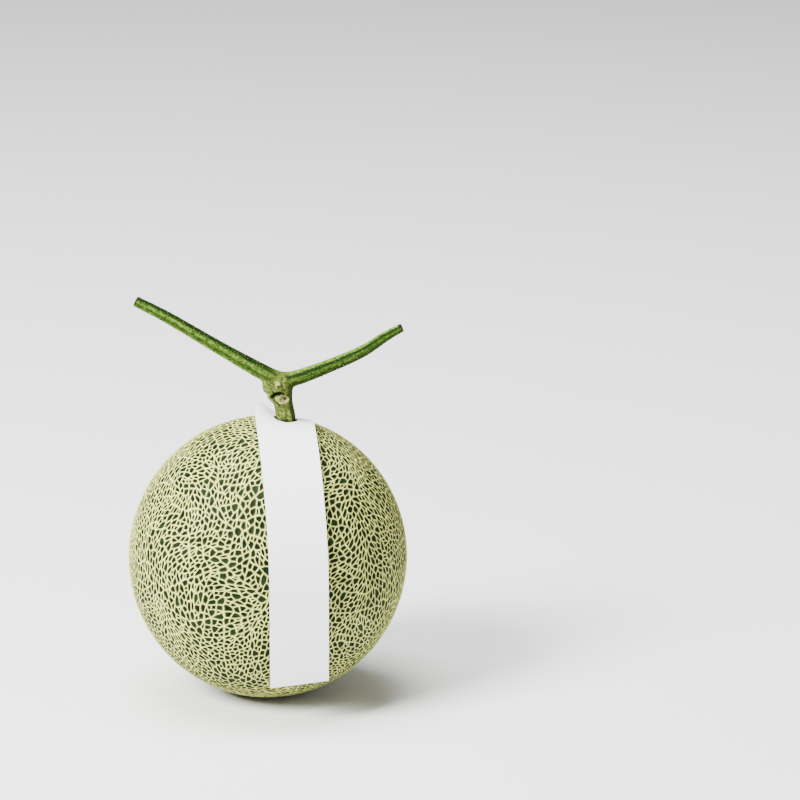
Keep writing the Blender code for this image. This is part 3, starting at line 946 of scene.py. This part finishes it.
def soften_node(mesh):
    """Smooth the joints where the arms and the stalk flow into the node, and roughen its bark."""
    bm = bmesh.new()
    bm.from_mesh(mesh)
    near = [vert for vert in bm.verts if (vert.co - NODE_CENTRE).length < NODE_REACH]
    for _ in range(NODE_SMOOTH_STEPS):
        bmesh.ops.smooth_vert(bm, verts=near, factor=0.5, use_axis_x=True, use_axis_y=True, use_axis_z=True)
    bm.normal_update()
    for vert in near:
        nearness = smooth_step(2.0 - 2.0 * (vert.co - NODE_CENTRE).length / NODE_REACH)
        vert.co += vert.normal * noise.noise(vert.co / BARK_SIZE) * BARK_HEIGHT * nearness
    bm.to_mesh(mesh)
    bm.free()


def press_crease(mesh):
    """Press the creases into the node."""
    places = points_of(mesh)
    places[:, 1] += creases_at(places)[1]
    mesh.vertices.foreach_set("co", places.ravel())
    mesh.update()


foot = SEAT_RIM + AXIS * (FOOT_GAP - SEAT_DEPTH)
STALK_STOPS = [(*(foot + AXIS * height), radius) for height, radius in FOOT_STOPS] + list(STALK_ROUTE)
limbs = fuse("limbs", grow([
    (add_tube, (STALK_STOPS, STALK_STEPS, RIDGE_DEPTH)),
    (add_tube, (VINE_ROUTE, VINE_STEPS, RIDGE_DEPTH, (True, True), VINE_TWIST)),
    (add_swelling, (NODE_CENTRE, NODE_SIZE)),
    (add_swelling, (FILLET_CENTRE, FILLET_SIZE)),
]))
soften_node(limbs)
stem = bpy.data.objects.new("stem_vine", fuse("stem_vine", grow([
    (add_tube, (STUB_ROUTE, STUB_STEPS, 0.0, (False, True), (0.0, 0.0), STUB_HEIGHT_SHARE)),
    (add_tube, (SCAR_ROUTE, STUB_STEPS, 0.0)),
    (add_tube, (BRACT_ROUTE, BRACT_STEPS, 0.0)),
], limbs)))
press_crease(stem.data)
bpy.context.scene.collection.objects.link(stem)
stem.data.calc_loop_triangles()
print("stem has", len(stem.data.loop_triangles), "triangles")

# %% [markdown]
# The colour of the vine follows its growth: pale ridges, dark grooves, a yellower stalk and node, and brown
# where it was cut. Painted light and shade go on top: the stripes also paint the right arm's top lighter and
# the left arm's top and the stalk's right side darker, and the creases and the stalk's foot get painted
# shade.
# Numbers for each of these go onto the points once, measured from the routes. The stripes give a tone, 0 dark
# to 1 light, at turns in degrees round each stem. A dark mark is an x, a z, a radius and how dark it is, on
# the side that faces the front. The last mark is a painted shadow below the stub, and the others are brown
# marks.

# %% Marks on the stem for its material
CUT_REACH = 0.0006
TIP_REACH = 0.0022
SCAR_REACH = 1.12
SCAR_DEPTH = 0.0014
FOOT_SHADE = 0.0035
STALK_BLEND = 0.0006
NODE_SPREAD = 1.35
# The stripe tables also hold painted light and shade: the right arm's top is lighter, and the left arm's top
# and the stalk's right side are darker, by how light falls on them.
LEFT_STRIPES_AND_SHADE = (
    (74, 0.20), (111, 0.0), (134, 0.05), (152, 0.55), (164, 0.80), (178, 0.65), (194, 0.20),
    (204, 0.30), (229, 0.75), (254, 0.75), (290, 0.20), (330, 0.70), (380, 0.20), (410, 0.50),
)
RIGHT_STRIPES_AND_LIGHT = (
    (74, 1.00), (118, 1.20), (134, 0.80), (146, -0.10), (160, -0.05), (174, 0.35), (190, 0.42),
    (208, 0.30), (222, 0.10), (254, 0.50), (290, 0.20), (330, 0.70), (380, 0.30), (410, 0.80),
)
STALK_STRIPES_AND_SHADE = (
    (90, 0.30), (110, 0.80), (135, 0.50), (160, 0.95), (185, 0.50), (205, 0.75),
    (225, 0.28), (245, 0.16), (270, 0.24), (320, 0.50), (360, 0.70), (400, 0.40),
)
MARKS_AND_PAINTED_SHADOW = (
    (0.0082, 0.1549, 0.0026, 0.6),
    (0.0067, 0.1547, 0.0006, 0.8),
    (0.0092, 0.1551, 0.0010, 1.0),
    (0.0059, 0.1616, 0.0008, 1.0),
    # A painted shadow below the stub.
    (0.0066, 0.1516, 0.0008, 1.0),
)


def stripes(turn, stops):
    """Tone of the stripes with their painted light and shade, 0 dark to 1 light, at turns round a stem."""
    degrees, tones = zip(*stops)
    return np.interp(np.degrees(turn), degrees, tones, period=360.0)


def measure_route(places, route, steps, tone_of):
    """For each place: depth under the route's surface, tone of its stripe, and place along and round it."""
    nearest = np.full(len(places), 1e9)
    tone = np.zeros(len(places))
    along = np.zeros((len(places), 3))
    stations = curve_through(route, steps)
    length = 0.0
    for i, ((point, radius), (side, other, tangent)) in enumerate(zip(stations, frames_along(stations))):
        length += (point - stations[max(0, i - 1)][0]).length
        offset = places - np.array(point)
        height = np.linalg.norm(offset, axis=1) - radius
        out_side = offset @ np.array(side)
        out_other = offset @ np.array(other)
        turn = np.arctan2(out_other, out_side)
        closer = height < nearest
        nearest[closer] = height[closer]
        tone[closer] = tone_of(turn, point)[closer]
        out = np.hypot(out_side, out_other)
        place = np.stack((length + offset @ np.array(tangent), turn * radius, out / radius), axis=1)
        along[closer] = place[closer]
    return nearest, tone, along


def measure_stem(mesh):
    """Store stripes, cuts, scars, marks, painted light and shade and a place along the route on the stem's
    points.
    """
    places = points_of(mesh)
    painted_shade, _ = creases_at(places)
    vine_height, vine_tone, vine_along = measure_route(
        places, VINE_ROUTE, VINE_STEPS,
        lambda turn, point: stripes(turn, LEFT_STRIPES_AND_SHADE) * (1.0 - arm_share(point))
        + stripes(turn, RIGHT_STRIPES_AND_LIGHT) * arm_share(point))
    stalk_height, stalk_tone, stalk_along = measure_route(
        places, STALK_STOPS, STALK_STEPS, lambda turn, point: stripes(turn, STALK_STRIPES_AND_SHADE))
    stalk = 1.0 / (1.0 + np.exp((stalk_height - vine_height) / STALK_BLEND))
    along = np.where(stalk[:, None] > 0.5, stalk_along, vine_along)
    ends = curve_through(VINE_ROUTE, VINE_STEPS)
    # Painted shade at the stalk's foot, where it stands in the strip's hole. It goes in with the creases'
    # painted shade.
    foot = np.where(stalk > 0.5, np.clip(1.0 - along[:, 0] / FOOT_SHADE, 0.0, 1.0), 0.0)
    cut = np.zeros(len(places))
    tip = np.zeros(len(places))
    for (point, radius), (inner, _) in ((ends[0], ends[1]), (ends[-1], ends[-2])):
        offset = places - np.array(point)
        beyond = offset @ np.array((point - inner).normalized())
        close = np.linalg.norm(offset, axis=1) < radius * 1.5
        cut = np.maximum(cut, np.where(close, np.clip(1.0 + beyond / CUT_REACH, 0.0, 1.0), 0.0))
        upper = np.clip(0.5 + offset[:, 2] / radius, 0.0, 1.0)
        tip = np.maximum(tip, np.where(close, np.clip(1.0 + beyond / TIP_REACH, 0.0, 1.0) * upper, 0.0))
    scar = np.zeros(len(places))
    for route, height in ((STUB_ROUTE, STUB_HEIGHT_SHARE), (SCAR_ROUTE, 1.0)):
        stations = curve_through(route, STUB_STEPS)
        point, radius = stations[-1]
        side, other, tangent = frames_along(stations)[-1]
        offset = places - np.array(point)
        out = np.hypot(offset @ np.array(side) / height, offset @ np.array(other)) / radius
        beyond = offset @ np.array(tangent)
        scar = np.maximum(scar, np.where(out < SCAR_REACH, np.clip(1.2 + beyond / SCAR_DEPTH, 0.0, 1.0), 0.0))
    node = np.linalg.norm((places - np.array(NODE_CENTRE)) / (np.array(NODE_SIZE) * NODE_SPREAD), axis=1)
    mark = np.zeros(len(places))
    for x, z, radius, darkest in MARKS_AND_PAINTED_SHADOW:
        distance = np.hypot(places[:, 0] - x, places[:, 2] - z)
        spot = darkest * np.exp(-(distance / radius) ** 2)
        mark = np.maximum(mark, np.where(places[:, 1] < 0.0, spot, 0.0))
    values = {
        "tone": vine_tone * (1.0 - stalk) + stalk_tone * stalk, "stalk": stalk, "cut": cut, "tip": tip,
        "scar": scar, "node": np.clip(1.6 - node, 0.0, 1.0), "painted_shade": np.maximum(painted_shade, foot), "mark": mark,
    }
    for name, value in values.items():
        layer = mesh.attributes.new(name, "FLOAT", "POINT")
        layer.data.foreach_set("value", value.astype(np.float32))
    layer = mesh.attributes.new("along", "FLOAT_VECTOR", "POINT")
    layer.data.foreach_set("vector", along.astype(np.float32).ravel())


measure_stem(stem.data)

# %% [markdown]
# The ridges are light green and wear their hairs as pale dots, the grooves are dark, and fine streaks run
# lengthwise, because a stem is a bundle of fibres. Nothing here shines much. The cut rims dried brown and
# the pith grey.

# %% Material of the stem
VINE_LIGHT = (0.115, 0.210, 0.024, 1.0)
VINE_DARK = (0.001, 0.010, 0.001, 1.0)
STALK_LIGHT = (0.185, 0.225, 0.045, 1.0)
STALK_DARK = (0.008, 0.020, 0.002, 1.0)
SPOT_PALE = (0.300, 0.400, 0.100, 1.0)
PAINTED_SHADE_COLOUR = (0.003, 0.010, 0.002, 1.0)
CUT_BROWN = (0.020, 0.012, 0.006, 1.0)
PITH_GREY = (0.160, 0.165, 0.110, 1.0)
SCAR_PALE = (0.340, 0.330, 0.110, 1.0)


def stem_nodes(tree):
    """Colour, roughness and normal of the stalk and the vine."""
    place = object_place(tree)
    along = add_node(tree, "ShaderNodeAttribute", attribute_name="along", output=1)
    streaks = add_node(tree, "ShaderNodeTexNoise", vector_math(tree, "MULTIPLY", along, (0.10, 1.0, 0.0)),
                       1600.0, 3.0, 0.6)
    blotches = add_node(tree, "ShaderNodeTexNoise", place, 420.0, 3.0, 0.6)
    frayed = number_math(tree, "MULTIPLY_ADD", number_math(tree, "SUBTRACT", streaks, 0.5), 1.2,
                         attribute(tree, "tone"))
    woody = number_math(tree, "MAXIMUM", attribute(tree, "stalk"), attribute(tree, "node"))
    light = mix_colours(tree, woody, VINE_LIGHT, STALK_LIGHT)
    dark = mix_colours(tree, woody, VINE_DARK, STALK_DARK)
    colour = mix_colours(tree, ramp(tree, frayed, -0.1, 1.1), dark, light)
    green = use_group(tree, MOTTLE, Vector=place, Colour=colour, Patch_colour=STALK_DARK, Patch_size=0.0013,
                      Patch_amount=0.80, Grain_size=0.00040, Grain_amount=0.9)
    dots = add_node(tree, "ShaderNodeTexVoronoi", place, 620.0)
    spotted = number_math(tree, "MULTIPLY", ramp(tree, dots, 0.30, 0.14), ramp(tree, frayed, 0.45, 0.8))
    pale_share = number_math(tree, "MULTIPLY", spotted, 0.7)
    colour = mix_colours(tree, pale_share, green.outputs["Colour"], SPOT_PALE)
    scar = number_math(tree, "MULTIPLY", attribute(tree, "scar"), ramp(tree, blotches, 0.36, 0.62))
    colour = mix_colours(tree, scar, colour, SCAR_PALE)
    # Painted shade in the creases, at the stalk's foot and on the node's right side.
    colour = mix_colours(tree, ramp(tree, attribute(tree, "painted_shade"), 0.15, 0.85), colour, PAINTED_SHADE_COLOUR)
    # Brown marks, and one painted shadow below the stub, in the colour of the cut ends.
    colour = mix_colours(tree, ramp(tree, attribute(tree, "mark"), 0.3, 0.8), colour, CUT_BROWN)
    pith = ramp(tree, add_node(tree, "ShaderNodeSeparateXYZ", along, output=2), PITH_SHARE + 0.1, PITH_SHARE)
    dried = mix_colours(tree, pith, CUT_BROWN, PITH_GREY)
    colour = mix_colours(tree, ramp(tree, attribute(tree, "cut"), 0.15, 0.75), colour, dried)
    colour = mix_colours(tree, ramp(tree, attribute(tree, "tip"), 0.25, 0.6), colour, CUT_BROWN)
    heights = number_math(tree, "ADD", number_math(tree, "MULTIPLY", streaks, 0.00018),
                          number_math(tree, "MULTIPLY", spotted, 0.00015))
    relief = use_group(tree, FINE_RELIEF, Vector=place, Size=0.0009, Depth=0.00016, Height=heights)
    return {
        "Base Color": colour,
        "Roughness": ramp(tree, green.outputs["Grain"], 0.3, 0.7, 0.60, 0.80),
        "Normal": relief.outputs["Normal"],
        "Specular IOR Level": 0.03,
    }


green_vine = finish_material("green_vine", stem_nodes)
stem.data.materials.append(green_vine)
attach(stem, "root")
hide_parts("stem")

# %% [markdown]
# A melon's vine is bristly. Geometry Nodes scatter short stiff hairs over its arms, each a slim pale cone
# that points away from the surface and leans a little. The cut ends, the scars, the stalk and the node stay
# bare.

# %% Hairs of the vine
def hair_tree(material):
    """The Geometry Nodes tree that scatters hairs over the stem."""
    number = "NodeSocketFloat"
    tree, given, result = new_group("stem hairs", "GeometryNodeTree", [
        ("Geometry", "NodeSocketGeometry", None), ("Spacing", number, 0.001), ("Density", number, 400000.0),
        ("Length", number, 0.0007), ("Base width", number, 0.0002), ("Seed", "NodeSocketInt", 3),
    ], [("Geometry", "NodeSocketGeometry")])
    points = tree.nodes.new("GeometryNodeDistributePointsOnFaces")
    points.distribute_method = "POISSON"
    bare = 0.0
    for name in ("cut", "scar", "stalk", "node"):
        value = add_node(tree, "GeometryNodeInputNamedAttribute", name, data_type="FLOAT")
        bare = number_math(tree, "ADD", value, bare)
    hairy = add_node(tree, "FunctionNodeCompare", bare, 0.1, data_type="FLOAT", operation="LESS_THAN")
    for socket, value in (("Mesh", given["Geometry"]), ("Selection", hairy),
                          ("Distance Min", given["Spacing"]), ("Density Max", given["Density"]),
                          ("Seed", given["Seed"])):
        tree.links.new(value, points.inputs[socket])
    cone = add_node(tree, "GeometryNodeMeshCone", 5, 2, 1, 0.00004, given["Base width"], given["Length"])
    sunk = add_node(tree, "GeometryNodeTransform", cone, None, (0.0, 0.0, -0.00012))
    tilt = add_node(tree, "FunctionNodeRandomValue", (-0.5, -0.5, 0.0), (0.5, 0.5, 3.0), None, 7,
                    data_type="FLOAT_VECTOR")
    leaning = add_node(tree, "FunctionNodeRotateRotation", points.outputs["Rotation"],
                       add_node(tree, "FunctionNodeEulerToRotation", tilt), rotation_space="LOCAL")
    size = add_node(tree, "FunctionNodeRandomValue", 0.55, 1.25, None, 11, data_type="FLOAT")
    flow = add_node(tree, "GeometryNodeInstanceOnPoints", points.outputs["Points"], None, sunk, None, None,
                    leaning, size)
    flow = add_node(tree, "GeometryNodeRealizeInstances", flow)
    flow = add_node(tree, "GeometryNodeSetMaterial", flow, None, material)
    tree.links.new(flow, result["Geometry"])
    return tree


def hair_nodes(tree):
    """Colour, roughness and normal of the hairs."""
    place = object_place(tree)
    pale = use_group(tree, MOTTLE, Vector=place, Colour=(0.24, 0.34, 0.08, 1.0),
                     Patch_colour=(0.10, 0.19, 0.03, 1.0), Patch_size=0.004, Patch_amount=0.6,
                     Grain_size=0.0004, Grain_amount=0.3)
    relief = use_group(tree, FINE_RELIEF, Vector=place, Size=0.0003, Depth=0.00002)
    return {"Base Color": pale.outputs["Colour"], "Roughness": 0.6, "Normal": relief.outputs["Normal"]}


hairs = bake_nodes("vine_hairs", stem.data.copy(), hair_tree(finish_material("vine_hair", hair_nodes)), {
    "Spacing": 0.00105,
    "Length": 0.00055,
    "Base width": 0.00014,
})
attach(hairs, "root")

# %% [markdown]
# The strip is paper with a round hole that the stalk passes through, and a slit from the hole to its short
# end, so it could be put on. It lies on the fruit's front, leaves it at the waist and hangs free, in
# towards the fruit a little. It is bare. Its paper shows fibres and soft waves, and behind the stalk its
# left corner curls up and its right one bends down. It is a quarter of a millimetre thick, where real paper
# is about 0.15 mm.

# %% The paper strip
STRIP_WIDTH = 0.0300
PAPER_THICKNESS = 0.00025
STRIP_CLEARANCE = 0.0004
STRIP_TAIL = 0.0080
HOLE_RADIUS = 0.0064
HOLE_SHIFT = 0.0006
SLIT_HALF_WIDTH = 0.0005
STRIP_TOP_X = 0.0086
STRIP_DRIFT = 0.0069
LEAVE_ANGLE = math.radians(89.0)
HANG_LENGTH = 0.0498
HANG_IN = 0.0070
HANG_BEND = 1.8
FLAP_LIFT_LEFT = 0.0058
FLAP_LIFT_RIGHT = -0.0010
FLAP_LENGTH = 0.0140
WRAP_STEPS = 110
HANG_STEPS = 40
HALF_COLUMNS = 14
WAVE_HEIGHT = 0.00016
WAVE_SIZE = 0.016


def wrap_point(angle):
    """Centre line of the strip on the fruit. The angle runs from the stalk, 0, down the front."""
    sine = math.sin(angle)
    x = STRIP_TOP_X + STRIP_DRIFT * (sine + sine * sine) / 2.0
    out = Vector((x / FRUIT_RADIUS, -sine, math.cos(angle))).normalized()
    return CENTRE + out * (reach(out) + STRIP_CLEARANCE), out


def strip_stations():
    """Points, outward normals and lengths from the stalk along the strip's centre line."""
    tail_angle = -STRIP_TAIL / FRUIT_RADIUS
    stations = []
    for i in range(WRAP_STEPS + 1):
        angle = tail_angle + (LEAVE_ANGLE - tail_angle) * (i / WRAP_STEPS)
        point, normal = wrap_point(angle)
        stations.append((point, normal, angle * FRUIT_RADIUS))
    leave, normal, length = stations[-1]
    for i in range(1, HANG_STEPS + 1):
        share = i / HANG_STEPS
        point = leave + DOWN * HANG_LENGTH * share + BACK * HANG_IN * share ** HANG_BEND
        stations.append((point, normal, length + HANG_LENGTH * share))
    return stations


def gap_beside_stalk(length):
    """Half the width of the hole, or of the slit behind it, at a length along the strip."""
    if length > HOLE_RADIUS:
        return 0.0
    hole = math.sqrt(max(0.0, HOLE_RADIUS ** 2 - length ** 2))
    return max(hole, SLIT_HALF_WIDTH) if length < 0.0 else hole


def paper_lift(length, across):
    """How far the paper lies over its smooth path: the curled loose end and a few soft waves."""
    back = smooth_step((FLAP_LENGTH / 2.0 - length) / FLAP_LENGTH)
    edge = abs(across) / (STRIP_WIDTH / 2.0)
    curl = (FLAP_LIFT_LEFT if across < 0.0 else FLAP_LIFT_RIGHT) * back * smooth_step(edge)
    wave = noise.noise(Vector((length / WAVE_SIZE, across / WAVE_SIZE, 0.5)))
    return curl + WAVE_HEIGHT * (1.0 + wave)


def strip_mesh():
    """The strip's middle sheet, with its hole and slit."""
    stations = strip_stations()
    bm = bmesh.new()
    rows = []
    for i, (point, normal, length) in enumerate(stations):
        before = stations[max(0, i - 1)][0]
        after = stations[min(len(stations) - 1, i + 1)][0]
        tangent = (after - before).normalized()
        across = normal.cross(tangent).normalized()
        outward = tangent.cross(across)
        gap = gap_beside_stalk(length)
        halves = []
        for sign in (-1.0, 1.0):
            half = []
            inner = HOLE_SHIFT + sign * gap
            outer = sign * STRIP_WIDTH / 2.0
            for k in range(HALF_COLUMNS + 1):
                offset = inner + (outer - inner) * k / HALF_COLUMNS
                half.append(point + across * offset + outward * paper_lift(length, offset))
            halves.append(half)
        left = [bm.verts.new(place) for place in halves[0]]
        right = [bm.verts.new(place) for place in halves[1][1:]]
        right.insert(0, left[0] if gap == 0.0 else bm.verts.new(halves[1][0]))
        rows.append((left, right))
    for (left, right), (next_left, next_right) in zip(rows, rows[1:]):
        for k in range(HALF_COLUMNS):
            bm.faces.new((left[k], left[k + 1], next_left[k + 1], next_left[k]))
            bm.faces.new((right[k + 1], right[k], next_right[k], next_right[k + 1]))
    bm.normal_update()
    mesh = bpy.data.meshes.new("paper_sheet")
    bm.to_mesh(mesh)
    bm.free()
    return mesh


def paper_nodes(tree):
    """Colour, roughness and normal of the paper."""
    place = object_place(tree)
    paper = use_group(tree, MOTTLE, Vector=place, Colour=(0.90, 0.92, 0.915, 1.0),
                      Patch_colour=(0.86, 0.885, 0.89, 1.0), Patch_size=0.012, Patch_amount=0.4,
                      Grain_size=0.0003, Grain_amount=0.05)
    fibres = add_node(tree, "ShaderNodeTexNoise", vector_math(tree, "MULTIPLY", place, (1.0, 0.3, 0.3)),
                      2600.0, 3.0, 0.6)
    fibre_height = number_math(tree, "MULTIPLY", fibres, 0.00003)
    relief = use_group(tree, FINE_RELIEF, Vector=place, Size=0.0011, Depth=0.00003, Height=fibre_height)
    return {"Base Color": paper.outputs["Colour"], "Roughness": 0.62, "Normal": relief.outputs["Normal"],
            "Specular IOR Level": 0.3}


def make_strip():
    """The paper strip with its thickness."""
    piece = bpy.data.objects.new("paper_strip", strip_mesh())
    bpy.context.scene.collection.objects.link(piece)
    wall = piece.modifiers.new("thickness", "SOLIDIFY")
    wall.thickness = PAPER_THICKNESS
    wall.offset = 1.0
    bpy.context.view_layer.update()
    made = bpy.data.meshes.new_from_object(piece.evaluated_get(bpy.context.evaluated_depsgraph_get()))
    piece.modifiers.clear()
    piece.data = made
    made.shade_smooth()
    made.set_sharp_from_angle(angle=math.radians(60.0))
    made.materials.append(finish_material("white_paper", paper_nodes))
    return piece


strip = make_strip()
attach(strip, "root")
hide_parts("paper_band")

# %% [markdown]
# The stage is a wide pale floor under a pale sky, as in a photo studio. A large soft light at the upper
# left in front and another overhead give the fruit its round shading, and a weak one from the right softens
# the shade.

# %% Floor, sky and lights
FLOOR_HALF = 10.0
SKY_STRENGTH = 0.34


def floor_nodes(tree):
    """Colour and roughness of the floor."""
    place = object_place(tree)
    pale = use_group(tree, MOTTLE, Vector=place, Colour=(0.80, 0.80, 0.80, 1.0),
                     Patch_colour=(0.78, 0.78, 0.78, 1.0), Patch_size=0.4, Patch_amount=0.3,
                     Grain_size=0.002, Grain_amount=0.01)
    return {"Base Color": pale.outputs["Colour"], "Roughness": 0.9}


def make_floor():
    """A square floor at the height where the fruit rests."""
    corners = [(-FLOOR_HALF, -FLOOR_HALF, 0.0), (FLOOR_HALF, -FLOOR_HALF, 0.0),
               (FLOOR_HALF, FLOOR_HALF, 0.0), (-FLOOR_HALF, FLOOR_HALF, 0.0)]
    mesh = bpy.data.meshes.new("floor")
    mesh.from_pydata(corners, [], [(0, 1, 2, 3)])
    mesh.materials.append(finish_material("pale_floor", floor_nodes))
    floor = bpy.data.objects.new("floor", mesh)
    bpy.context.scene.collection.objects.link(floor)


def add_light(name, place, size, power):
    """A square soft light that looks at the fruit."""
    data = bpy.data.lights.new(name, "AREA")
    data.size = size
    data.energy = power
    light = bpy.data.objects.new(name, data)
    bpy.context.scene.collection.objects.link(light)
    light.location = place
    light.rotation_euler = (CENTRE - light.location).to_track_quat("-Z", "Y").to_euler()


def make_sky():
    """A pale even sky."""
    world = bpy.data.worlds.new("pale_sky")
    world.use_nodes = True
    background = world.node_tree.nodes["Background"]
    background.inputs["Color"].default_value = (1.0, 1.0, 1.0, 1.0)
    background.inputs["Strength"].default_value = SKY_STRENGTH
    bpy.context.scene.world = world


make_floor()
make_sky()
add_light("key_light", (-1.5, -1.2, 1.6), 1.0, 250.0)
add_light("top_light", (-0.3, 0.2, 2.3), 1.5, 110.0)
add_light("fill_light", (1.5, -1.0, 0.8), 1.0, 4.0)
